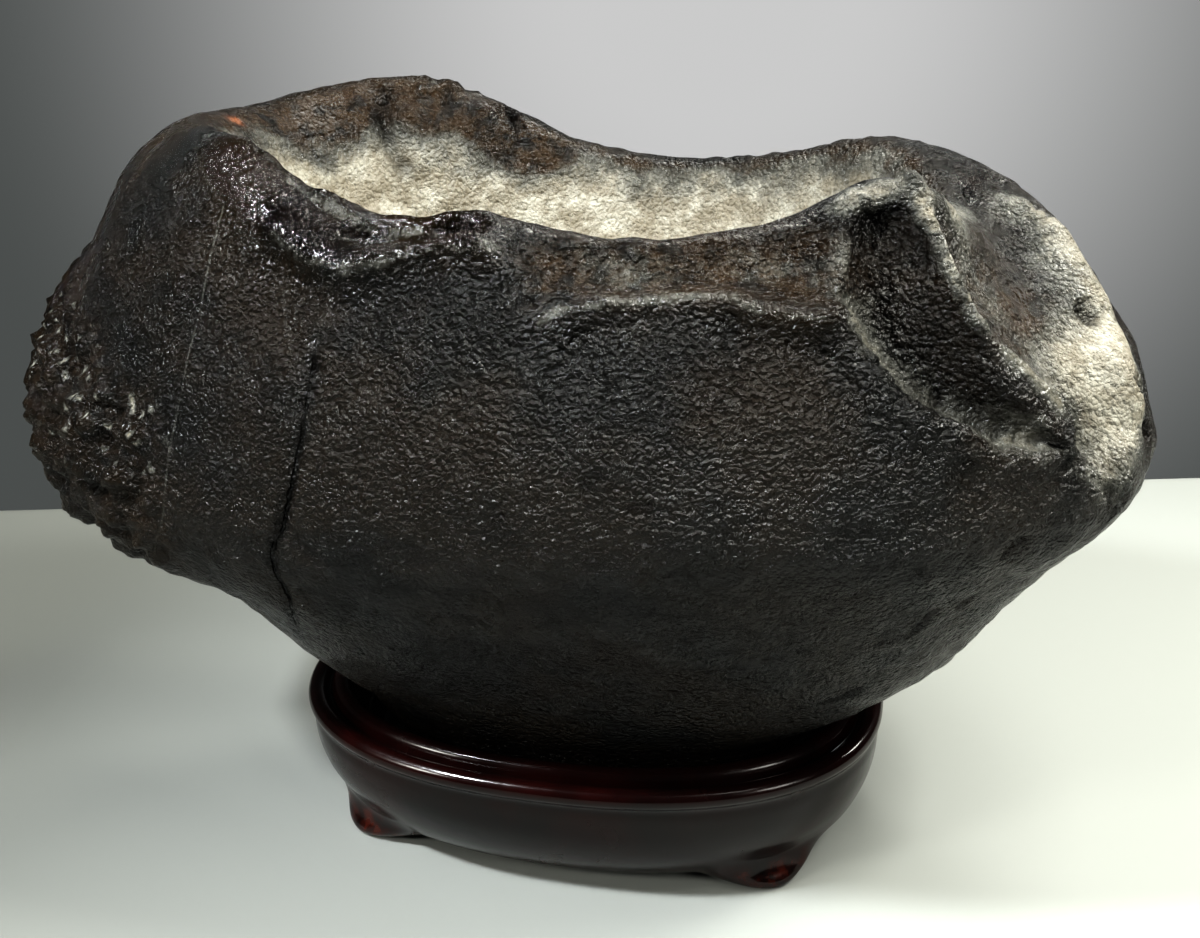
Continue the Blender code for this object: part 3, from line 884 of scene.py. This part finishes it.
# ---------------------------------------------------------------------------------------------
# The stand
# ---------------------------------------------------------------------------------------------
@dataclass(frozen=True)
class Stand:
    """The carved stand: one bowl with a double-bead rim and four feet that run out of its wall."""

    name: str = "carved_stand"
    segments: int = 384
    rings: int = 200
    half_length: float = 57.5
    half_width: float = 40.0
    squareness: float = 2.3
    recess: tuple[tuple[float, float], ...] = (
        (39.5, 11.6), (30.0, 11.6), (16.0, 11.6), (12.5, 12.6), (10.6, 14.6), (9.6, 17.5),
        (8.8, 21.0), (8.4, 23.4))
    inner_bead: Point = (6.6, 24.3, 1.7)
    outer_bead: Point = (1.8, 23.3, 1.8)
    groove: tuple[float, float] = (4.25, 23.1)
    wall: tuple[tuple[float, float], ...] = (
        (0.95, 21.0), (0.7, 19.0), (1.0, 15.0), (2.1, 11.0), (3.8, 7.2), (5.9, 4.2), (8.2, 2.6),
        (11.2, 2.2), (20.0, 2.2), (39.5, 2.2))
    foot: tuple[tuple[float, float], ...] = (
        (0.95, 21.0), (0.7, 19.0), (0.95, 15.0), (1.9, 11.2), (3.5, 7.9), (4.3, 5.6), (3.6, 3.2),
        (2.5, 1.5), (2.6, 0.5), (3.4, 0.0), (10.0, 0.0), (12.4, 0.4), (13.2, 2.2), (20.0, 2.2),
        (39.5, 2.2))
    foot_place: tuple[float, float] = (37.0, 24.5)
    foot_half_width: float = 8.2
    top_share: float = 0.62

    def rim(self, bead: Point, start: float, end: float, steps: int) -> list[tuple[float, float]]:
        """Points over a bead's round top, from the recess side to the outside.

        Args:
            bead: its inset, height and radius.
            start: the first angle in degrees, 0 towards the recess.
            end: the last angle.
            steps: how many stretches it has.

        Returns:
            Pairs of inset and height.
        """
        inset, height, radius = bead
        turns = np.radians(np.linspace(start, end, steps + 1))
        return [(inset + radius * math.cos(a), height + radius * math.sin(a)) for a in turns]

    def upper(self) -> list[tuple[float, float]]:
        """The profile from the recess floor over both beads."""
        return (list(self.recess) + self.rim(self.inner_bead, 0.0, 160.0, 14) + [self.groove]
                + self.rim(self.outer_bead, 28.0, 215.0, 16))

    @staticmethod
    def resample(profile: list[tuple[float, float]], count: int) -> np.ndarray:
        """Space a profile's points evenly along it.

        Args:
            profile: pairs of inset and height.
            count: how many points are wanted.

        Returns:
            Rows of inset and height.
        """
        keys = np.array(profile)
        run = np.concatenate([[0.0], np.cumsum(np.linalg.norm(np.diff(keys, axis=0), axis=1))])
        place = np.linspace(0.0, run[-1], count)
        index = np.interp(place, run, np.arange(len(keys)))
        return np.stack([catmull_rom(np.repeat(keys[:, axis:axis + 1], count, axis=1), index)
                         for axis in range(2)], axis=1)

    def foot_share(self, azimuth: np.ndarray) -> np.ndarray:
        """How much of a foot stands at each direction, from 0 to 1.

        Args:
            azimuth: directions in radians.

        Returns:
            The share for each direction.
        """
        middle = math.atan2(self.foot_place[1], self.foot_place[0])
        folded = np.arctan2(np.abs(np.sin(azimuth)), np.abs(np.cos(azimuth)))
        away = np.abs(folded - middle) * math.hypot(*self.foot_place)
        return smooth_step(self.foot_half_width * 1.45, 0.0, away) ** 0.8

    def build(self) -> bpy.types.Object:
        """Make the stand.

        Returns:
            The finished piece, which stands for the frame's stand.
        """
        piece = add_ball(self.name, self.segments, self.rings)
        start = read_points(piece)
        top_rows = int(self.rings * self.top_share)
        top = self.resample(self.upper(), top_rows)
        plain = self.resample([tuple(top[-1])] + list(self.wall), self.rings + 2 - top_rows)[1:]
        footed = self.resample([tuple(top[-1])] + list(self.foot), self.rings + 2 - top_rows)[1:]
        row = np.rint(np.arccos(np.clip(start[:, 2], -1.0, 1.0)) / math.pi * self.rings).astype(int)
        azimuth = np.arctan2(start[:, 1], start[:, 0])
        share = self.foot_share(azimuth)[:, None]
        bowl = np.concatenate([top, plain])[row]
        leg = np.concatenate([top, footed])[row]
        place = bowl * (1.0 - share) + leg * share
        inset = place[:, 0]
        sides = (self.half_length - inset, self.half_width - inset)
        along = np.abs(np.cos(azimuth)) / np.maximum(sides[0], 0.3)
        across = np.abs(np.sin(azimuth)) / np.maximum(sides[1], 0.3)
        reach = (along ** self.squareness + across ** self.squareness) ** (-1.0 / self.squareness)
        reach = np.where((row == 0) | (row == self.rings), 0.0, reach)
        points = np.stack([reach * np.cos(azimuth), reach * np.sin(azimuth),
                           np.maximum(place[:, 1], 0.0)], axis=1)
        write_points(piece, points)
        surface = Surface(piece)
        spots = surface.points
        surface.paint[Channel.TINT] = smooth_step(22.0, 24.4, spots[:, 2])
        surface.paint[Channel.WARM_SPOT] = (self.foot_share(np.arctan2(spots[:, 1], spots[:, 0]))
                                       * smooth_step(7.0, 4.0, spots[:, 2]))
        surface.finish()
        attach(piece, ROOT)
        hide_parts("stand")
        return piece


# ---------------------------------------------------------------------------------------------
# Finishes
# ---------------------------------------------------------------------------------------------
class Nodes:
    """A node tree with short ways to add, feed and join its nodes."""

    def __init__(self, tree: bpy.types.NodeTree) -> None:
        """Take a node tree."""
        self.tree = tree

    def add(self, kind: str, **settings: object) -> bpy.types.Node:
        """Add a node.

        Args:
            kind: its type.
            settings: its properties, and its inputs by name with _ for a space.

        Returns:
            The new node.
        """
        made = self.tree.nodes.new(kind)
        for key, value in settings.items():
            if hasattr(made, key):
                setattr(made, key, value)
            else:
                self.feed(made.inputs[key.replace("_", " ")], value)
        return made

    def feed(self, socket: bpy.types.NodeSocket, value: object) -> None:
        """Join a socket to another node's output, or set its own value.

        Args:
            socket: the input.
            value: an output socket, a number or a colour.
        """
        if isinstance(value, bpy.types.NodeSocket):
            self.tree.links.new(value, socket)
        else:
            socket.default_value = value

    def ramp(self, source: bpy.types.NodeSocket, low: float, high: float, start: float = 0.0,
             end: float = 1.0) -> bpy.types.NodeSocket:
        """Stretch a value from one range to another, with a smooth rise.

        Args:
            source: the value.
            low: where the rise starts.
            high: where it ends.
            start: the result below low.
            end: the result above high.

        Returns:
            The stretched value.
        """
        made = self.add("ShaderNodeMapRange", interpolation_type="SMOOTHSTEP", Value=source)
        for name, value in zip(("From Min", "From Max", "To Min", "To Max"), (low, high, start, end)):
            made.inputs[name].default_value = value
        return made.outputs[0]

    def sum(self, kind: str, first: object, second: object) -> bpy.types.NodeSocket:
        """Work out one sum of two values.

        Args:
            kind: the operation.
            first: a value or an output.
            second: a value or an output.

        Returns:
            The result.
        """
        made = self.tree.nodes.new("ShaderNodeMath")
        made.operation = kind
        self.feed(made.inputs[0], first)
        self.feed(made.inputs[1], second)
        return made.outputs[0]

    def blend(self, share: object, first: object, second: object) -> bpy.types.NodeSocket:
        """Mix two colours.

        Args:
            share: how much of the second, a value or an output.
            first: a colour or an output.
            second: a colour or an output.

        Returns:
            The mixed colour.
        """
        made = self.tree.nodes.new("ShaderNodeMix")
        made.data_type = "RGBA"
        self.feed(made.inputs[0], share)
        self.feed(made.inputs[6], first)
        self.feed(made.inputs[7], second)
        return made.outputs[2]

    def noise(self, place: bpy.types.NodeSocket, size: float, detail: float = 3.0,
              rough: float = 0.5) -> bpy.types.NodeSocket:
        """A cloudy pattern whose swells are size metres apart."""
        made = self.add("ShaderNodeTexNoise", Vector=place, Scale=1.0 / size, Detail=detail,
                        Roughness=rough)
        return made.outputs[0]

    def thread(self, place: bpy.types.NodeSocket, keys: tuple[tuple[float, float], ...],
               half_width: float, wobble: float) -> bpy.types.NodeSocket:
        """A thin line down the stone's front.

        Args:
            place: the object's coordinates.
            keys: pairs of height and x in millimetres from the stand's middle, lowest first.
            half_width: half the line's width in millimetres.
            wobble: how far it strays from side to side, in millimetres.

        Returns:
            1 on the line and 0 away from it.
        """
        axes = self.add("ShaderNodeSeparateXYZ", Vector=place)
        heights = [key[0] for key in keys]
        reaches = [key[1] - OUTLINE_MIDDLE[0] for key in keys]
        low, high, left, right = min(heights), max(heights), min(reaches), max(reaches)
        line = self.add("ShaderNodeFloatCurve")
        course = line.mapping.curves[0]
        for _ in range(len(keys) - 2):
            course.points.new(0.5, 0.5)
        for point, height, reach in zip(course.points, heights, reaches):
            point.location = ((height - low) / (high - low), (reach - left) / (right - left))
        line.mapping.update()
        climb = self.add("ShaderNodeMapRange", Value=axes.outputs[2])
        for name, value in zip(("From Min", "From Max"), (low * MM, high * MM)):
            climb.inputs[name].default_value = value
        self.feed(line.inputs["Value"], climb.outputs[0])
        middle = self.sum("ADD", self.sum("MULTIPLY", line.outputs[0], (right - left) * MM), left * MM)
        stray = self.sum("MULTIPLY", self.sum("SUBTRACT", self.noise(place, 0.004), 0.5),
                         wobble * 2.0 * MM)
        gap = self.sum("ABSOLUTE", self.sum("SUBTRACT", self.sum("ADD", axes.outputs[0], stray), middle),
                       0.0)
        shown = self.ramp(gap, half_width * MM, half_width * 0.4 * MM)
        front = self.ramp(axes.outputs[1], -0.036, -0.040)
        ends = self.sum("MULTIPLY", self.ramp(axes.outputs[2], low * MM, (low + 3.0) * MM),
                        self.ramp(axes.outputs[2], high * MM, (high - 3.0) * MM))
        return self.sum("MULTIPLY", shown, self.sum("MULTIPLY", front, ends))


def grain_group() -> bpy.types.NodeTree:
    """Build the leathery grain that the stone's skin has: small rounded grains and fine pores.

    Returns:
        A group with the inputs Vector, Size and Pores and the output Height.
    """
    tree = bpy.data.node_groups.new("leathery_grain", "ShaderNodeTree")
    tree.interface.new_socket("Vector", in_out="INPUT", socket_type="NodeSocketVector")
    tree.interface.new_socket("Size", in_out="INPUT", socket_type="NodeSocketFloat")
    tree.interface.new_socket("Pores", in_out="INPUT", socket_type="NodeSocketFloat")
    tree.interface.new_socket("Height", in_out="OUTPUT", socket_type="NodeSocketFloat")
    nodes = Nodes(tree)
    given = nodes.add("NodeGroupInput")
    shown = nodes.add("NodeGroupOutput")
    scale = nodes.sum("DIVIDE", 1.0, given.outputs["Size"])
    grains = nodes.add("ShaderNodeTexVoronoi", Vector=given.outputs["Vector"], Scale=scale)
    wander = nodes.add("ShaderNodeTexNoise", Vector=given.outputs["Vector"], Scale=scale, Detail=3.0,
                       Roughness=0.6)
    rounded = nodes.sum("POWER", grains.outputs["Distance"], 2.0)
    body = nodes.sum("SUBTRACT", nodes.sum("MULTIPLY", wander.outputs[0], 1.2), rounded)
    pore = nodes.ramp(wander.outputs[0], 0.30, 0.42, 1.0, 0.0)
    nodes.feed(shown.inputs["Height"],
               nodes.sum("SUBTRACT", body, nodes.sum("MULTIPLY", pore, given.outputs["Pores"])))
    return tree


def use_group(nodes: Nodes, tree: bpy.types.NodeTree, **inputs: object) -> bpy.types.Node:
    """Place a node group in a material.

    Args:
        nodes: the material's nodes.
        tree: the group.
        inputs: the values or outputs for its inputs.

    Returns:
        The placed group.
    """
    made = nodes.tree.nodes.new("ShaderNodeGroup")
    made.node_tree = tree
    for name, value in inputs.items():
        nodes.feed(made.inputs[name], value)
    return made


@dataclass(frozen=True)
class WaxedStone:
    """Dark stone that has been waxed and handled: leathery, brown-black, pale where it is unwaxed; the pale
    grey along its lit ridges and crests is painted highlight.
    """

    grain: bpy.types.NodeTree
    black: Colour = (0.0022, 0.0021, 0.0018, 1.0)
    brown: Colour = (0.0110, 0.0074, 0.0042, 1.0)
    umber: Colour = (0.036, 0.022, 0.011, 1.0)
    cream: Colour = (0.38, 0.365, 0.31, 1.0)
    orange: Colour = (0.27, 0.11, 0.055, 1.0)
    crevice_shade: Colour = (0.0015, 0.0015, 0.0015, 1.0)
    grey: Colour = (0.11, 0.11, 0.098, 1.0)
    pale_brown: Colour = (0.20, 0.178, 0.135, 1.0)
    vein: tuple[tuple[float, float], ...] = (
        (66.0, -62.6), (68.2, -61.7), (78.3, -55.7), (90.6, -51.8), (101.5, -48.4), (113.2, -44.9),
        (126.0, -42.4))
    crack: tuple[tuple[float, float], ...] = (
        (54.0, -39.6), (56.4, -38.6), (63.2, -36.3), (70.2, -36.3), (75.6, -34.9), (78.8, -32.6),
        (83.3, -30.7), (87.5, -29.1), (90.7, -28.3), (93.8, -27.2), (100.0, -25.9), (108.5, -24.9))

    def dress(self, piece: bpy.types.Object) -> None:
        """Give a piece this finish.

        Args:
            piece: the stone, with its painted channels.
        """
        material = bpy.data.materials.new("waxed_stone")
        material.use_nodes = True
        nodes = Nodes(material.node_tree)
        surface = material.node_tree.nodes["Principled BSDF"]
        place = nodes.add("ShaderNodeTexCoord").outputs["Object"]
        paint = {channel: nodes.add("ShaderNodeAttribute", attribute_name=channel.value).outputs["Fac"]
                 for channel in Channel}
        patches = nodes.ramp(nodes.noise(place, 0.022, 4.0, 0.6), 0.38, 0.62)
        colour = nodes.blend(patches, self.black, self.brown)
        mottle = nodes.noise(place, 0.0035, 5.0, 0.65)
        tinted = nodes.sum("MULTIPLY", paint[Channel.TINT], nodes.ramp(mottle, 0.35, 0.6))
        colour = nodes.blend(tinted, colour, self.umber)
        clouds = nodes.noise(place, 0.010, 7.0, 0.68)
        ragged = nodes.noise(place, 0.0022, 4.0, 0.7)
        # The pale channel and the clouds make the grey film and the pale dust; along the ridges and crests
        # painted in that channel, both are painted highlights.
        total = nodes.sum("ADD", paint[Channel.BLOOM], nodes.sum("MULTIPLY", clouds, 0.9))
        total = nodes.sum("ADD", total, nodes.sum("MULTIPLY", nodes.sum("SUBTRACT", ragged, 0.5), 0.5))
        film_and_sheen = nodes.ramp(total, 0.62, 1.0)
        colour = nodes.blend(nodes.sum("MULTIPLY", film_and_sheen, 0.85), colour, self.grey)
        dust_and_sheen = nodes.ramp(total, 0.86, 1.42)
        spots = nodes.ramp(nodes.noise(place, 0.006, 6.0, 0.72), 0.40, 0.66)
        pale = nodes.blend(spots, self.pale_brown, self.cream)
        colour = nodes.blend(dust_and_sheen, colour, pale)
        colour = nodes.blend(paint[Channel.WARM_SPOT], colour, self.orange)
        # The crack down the front: a thin line painted near black as painted shade, and pressed into the
        # bump.
        seam = nodes.sum("MULTIPLY", nodes.thread(place, self.crack, 0.42, 0.55),
                         nodes.ramp(nodes.noise(place, 0.007, 3.0, 0.6), 0.36, 0.5, 0.15, 1.0))
        vein = nodes.thread(place, self.vein, 0.26, 0.12)
        worn = nodes.ramp(nodes.noise(place, 0.005, 3.0, 0.7), 0.36, 0.66, 0.08, 0.5)
        colour = nodes.blend(nodes.sum("MULTIPLY", vein, worn), colour, self.grey)
        # Cracks, slits, pits, clefts and folds are painted near black here as painted shade.
        colour = nodes.blend(nodes.sum("MAXIMUM", paint[Channel.DARK], seam), colour, self.crevice_shade)
        nodes.feed(surface.inputs["Base Color"], colour)
        gloss = nodes.ramp(nodes.noise(place, 0.006, 3.0), 0.3, 0.7, 0.19, 0.31)
        rough = nodes.sum("ADD", gloss, nodes.sum("MULTIPLY", dust_and_sheen, 0.3))
        rough = nodes.sum("SUBTRACT", rough, nodes.sum("MULTIPLY", paint[Channel.POLISH], 0.16))
        nodes.feed(surface.inputs["Roughness"], rough)
        fine = use_group(nodes, self.grain, Vector=place, Size=0.0007, Pores=0.5).outputs[0]
        coarse = use_group(nodes, self.grain, Vector=place, Size=0.0013, Pores=0.6).outputs[0]
        height = nodes.sum("ADD", fine, nodes.sum("MULTIPLY", coarse, 0.95))
        height = nodes.sum("SUBTRACT", height, nodes.sum("MULTIPLY", seam, 2.5))
        calm = nodes.sum("SUBTRACT", 1.0, nodes.sum("MULTIPLY", paint[Channel.POLISH], 0.72))
        calm = nodes.sum("SUBTRACT", calm, nodes.sum("MULTIPLY", dust_and_sheen, 0.45))
        height = nodes.sum("MULTIPLY", height, calm)
        bump = nodes.add("ShaderNodeBump", Strength=1.0, Distance=0.0005, Height=height)
        nodes.feed(surface.inputs["Normal"], bump.outputs[0])
        surface.inputs["Specular IOR Level"].default_value = 0.38
        piece.data.materials.clear()
        piece.data.materials.append(material)


@dataclass(frozen=True)
class Lacquer:
    """Glossy dark red lacquer, thin and red over the edges that are touched."""

    dark: Colour = (0.0035, 0.0020, 0.0018, 1.0)
    red: Colour = (0.010, 0.0025, 0.0020, 1.0)
    wine: Colour = (0.022, 0.0035, 0.003, 1.0)
    worn: Colour = (0.060, 0.011, 0.006, 1.0)

    def dress(self, piece: bpy.types.Object) -> None:
        """Give a piece this finish.

        Args:
            piece: the stand.
        """
        material = bpy.data.materials.new("red_lacquer")
        material.use_nodes = True
        nodes = Nodes(material.node_tree)
        surface = material.node_tree.nodes["Principled BSDF"]
        place = nodes.add("ShaderNodeTexCoord").outputs["Object"]
        cloud = nodes.ramp(nodes.noise(place, 0.02, 4.0, 0.6), 0.35, 0.7)
        colour = nodes.blend(cloud, self.dark, self.red)
        touched = nodes.add("ShaderNodeAttribute", attribute_name=Channel.TINT.value).outputs["Fac"]
        rubbed = nodes.ramp(nodes.noise(place, 0.015, 4.0, 0.6), 0.3, 0.7, 0.15, 0.9)
        colour = nodes.blend(nodes.sum("MULTIPLY", touched, rubbed), colour, self.wine)
        worn = nodes.add("ShaderNodeAttribute", attribute_name=Channel.WARM_SPOT.value).outputs["Fac"]
        patchy = nodes.ramp(nodes.noise(place, 0.004, 3.0, 0.6), 0.40, 0.68)
        colour = nodes.blend(nodes.sum("MULTIPLY", worn, patchy), colour, self.worn)
        nodes.feed(surface.inputs["Base Color"], colour)
        gloss = nodes.ramp(nodes.noise(place, 0.01, 3.0), 0.3, 0.7, 0.16, 0.28)
        nodes.feed(surface.inputs["Roughness"], gloss)
        wave = nodes.noise(place, 0.003, 3.0)
        bump = nodes.add("ShaderNodeBump", Strength=0.25, Distance=0.0002, Height=wave)
        nodes.feed(surface.inputs["Normal"], bump.outputs[0])
        surface.inputs["Specular IOR Level"].default_value = 0.3
        surface.inputs["Coat Weight"].default_value = 0.2
        surface.inputs["Coat Roughness"].default_value = 0.12
        piece.data.materials.clear()
        piece.data.materials.append(material)


# ---------------------------------------------------------------------------------------------
# The studio
# ---------------------------------------------------------------------------------------------
@dataclass(frozen=True)
class Lamp:
    """One soft light: where it hangs, what it points at, its size, power, spread and colour."""

    name: str
    place: Point
    target: Point
    size: tuple[float, float]
    watts: float
    spread: float = 180.0
    colour: Point = (1.0, 1.0, 0.94)


@dataclass(frozen=True)
class Studio:
    """A pale floor, soft lights, a grey backdrop and the camera."""

    eye: Point = (57.84919, -209.8196, 157.06312)
    right: Point = (0.97081, 0.23738, -0.03426)
    up: Point = (-0.05882, 0.37415, 0.9255)
    ahead: Point = (-0.23251, 0.89647, -0.37719)
    sensor: float = 36.0
    lens: float = 37.5
    floor_edge: tuple[tuple[float, float], tuple[float, float]] = ((-224.7, 103.1), (150.5, 190.7))
    floor_depth: float = 700.0
    floor_half_width: float = 600.0
    floor_colour: Colour = (0.335, 0.345, 0.325, 1.0)
    floor_thickness: float = 20.0
    lamps: tuple[Lamp, ...] = (
        Lamp("key", (240.0, -30.0, 360.0), (50.0, 0.0, 50.0), (60.0, 60.0), 1.0),
        Lamp("top", (190.0, -80.0, 500.0), (60.0, -60.0, 0.0), (260.0, 200.0), 1.3),
        Lamp("rim", (300.0, 170.0, 290.0), (60.0, -20.0, 100.0), (80.0, 80.0), 0.80),
        Lamp("back", (20.0, 330.0, 420.0), (0.0, 0.0, 110.0), (160.0, 60.0), 0.70),
        Lamp("front", (520.0, -340.0, 360.0), (60.0, -230.0, 0.0), (160.0, 160.0), 0.90),
        Lamp("left", (-230.0, -190.0, 430.0), (-30.0, -40.0, 120.0), (50.0, 50.0), 0.21, 45.0,
             (0.93, 0.97, 1.0)),
        Lamp("porch", (-440.0, -420.0, 350.0), (0.0, -280.0, 0.0), (120.0, 120.0), 1.6),
    )
    glow_way: Point = (-0.155, 0.985, -0.02)
    glow: Colour = (0.455, 0.455, 0.455, 1.0)
    gloom: Colour = (0.087, 0.093, 0.091, 1.0)
    glow_angles: tuple[float, float] = (33.0, 5.0)
    cast: float = 0.55

    def place_camera(self) -> None:
        """Make the camera and hand it to the scene."""
        camera = bpy.data.cameras.new("camera")
        camera.sensor_width = self.sensor
        camera.lens = self.lens
        camera.clip_start = 0.01
        camera.clip_end = 20.0
        holder = bpy.data.objects.new("camera", camera)
        bpy.context.scene.collection.objects.link(holder)
        turn = Matrix((self.right, self.up, -Vector(self.ahead))).transposed().to_4x4()
        turn.translation = to_scene(self.eye)
        holder.matrix_world = turn
        bpy.context.scene.camera = holder

    def lay_floor(self) -> None:
        """Lay the pale floor, whose far edge lies behind the stone."""
        deselect_all()
        bpy.ops.mesh.primitive_cube_add(size=1.0)
        floor = bpy.context.active_object
        floor.name = "floor"
        start = Vector((*self.floor_edge[0], 0.0))
        end = Vector((*self.floor_edge[1], 0.0))
        along = (end - start).normalized()
        back = Vector((-along.y, along.x, 0.0))
        middle = (start + end) / 2.0 - back * self.floor_depth / 2.0
        corners = read_points(floor)
        rows = [middle + along * (x * 2.0 * self.floor_half_width) + back * (y * self.floor_depth)
                + Vector((0.0, 0.0, (z - 0.5) * self.floor_thickness)) for x, y, z in corners]
        write_points(floor, np.array([to_scene(row) for row in rows]))
        apply_modifier(floor, "BEVEL", width=0.006, segments=4)
        material = bpy.data.materials.new("pale_floor")
        material.use_nodes = True
        surface = material.node_tree.nodes["Principled BSDF"]
        surface.inputs["Base Color"].default_value = self.floor_colour
        surface.inputs["Roughness"].default_value = 0.7
        floor.data.materials.append(material)

    def hang_lamps(self) -> None:
        """Hang the soft lights."""
        for lamp in self.lamps:
            light = bpy.data.lights.new(lamp.name, "AREA")
            light.shape = "RECTANGLE"
            light.size = lamp.size[0] * MM
            light.size_y = lamp.size[1] * MM
            light.energy = lamp.watts
            light.spread = math.radians(lamp.spread)
            light.color = lamp.colour
            holder = bpy.data.objects.new(lamp.name, light)
            bpy.context.scene.collection.objects.link(holder)
            holder.location = to_scene(lamp.place)
            way = to_scene(lamp.target) - holder.location
            holder.rotation_euler = way.to_track_quat("-Z", "Y").to_euler()

    def paint_backdrop(self) -> None:
        """Give the world a grey that is bright behind the stone and dark behind the camera."""
        world = bpy.data.worlds.new("backdrop")
        bpy.context.scene.world = world
        world.use_nodes = True
        nodes = Nodes(world.node_tree)
        way = nodes.add("ShaderNodeTexCoord").outputs["Generated"]
        along = nodes.tree.nodes.new("ShaderNodeVectorMath")
        along.operation = "DOT_PRODUCT"
        nodes.feed(along.inputs[0], way)
        along.inputs[1].default_value = Vector(self.glow_way).normalized()
        angle = nodes.sum("ARCCOSINE", along.outputs["Value"], 0.0)
        share = nodes.ramp(angle, *(math.radians(a) for a in self.glow_angles))
        colour = nodes.blend(share, self.gloom, self.glow)
        nodes.feed(world.node_tree.nodes["Background"].inputs["Color"], colour)
        seen = nodes.add("ShaderNodeLightPath").outputs["Is Camera Ray"]
        nodes.feed(world.node_tree.nodes["Background"].inputs["Strength"],
                   nodes.ramp(seen, 0.0, 1.0, self.cast, 1.0))

    def build(self) -> None:
        """Set up the whole studio."""
        bpy.context.scene.view_settings.view_transform = "Standard"
        bpy.context.scene.view_settings.look = "High Contrast"
        self.place_camera()
        self.lay_floor()
        self.hang_lamps()
        self.paint_backdrop()


def main() -> None:
    """Build every piece and its surroundings."""
    logging.basicConfig(level=logging.INFO, format="%(message)s")
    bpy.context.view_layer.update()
    Studio().build()
    grain = grain_group()
    stone = Stone().build()
    WaxedStone(grain).dress(stone)
    LOG.info("stone: %d faces", len(stone.data.polygons))
    stand = Stand().build()
    Lacquer().dress(stand)
    LOG.info("stand: %d faces", len(stand.data.polygons))


if __name__ == "__main__":
    main()
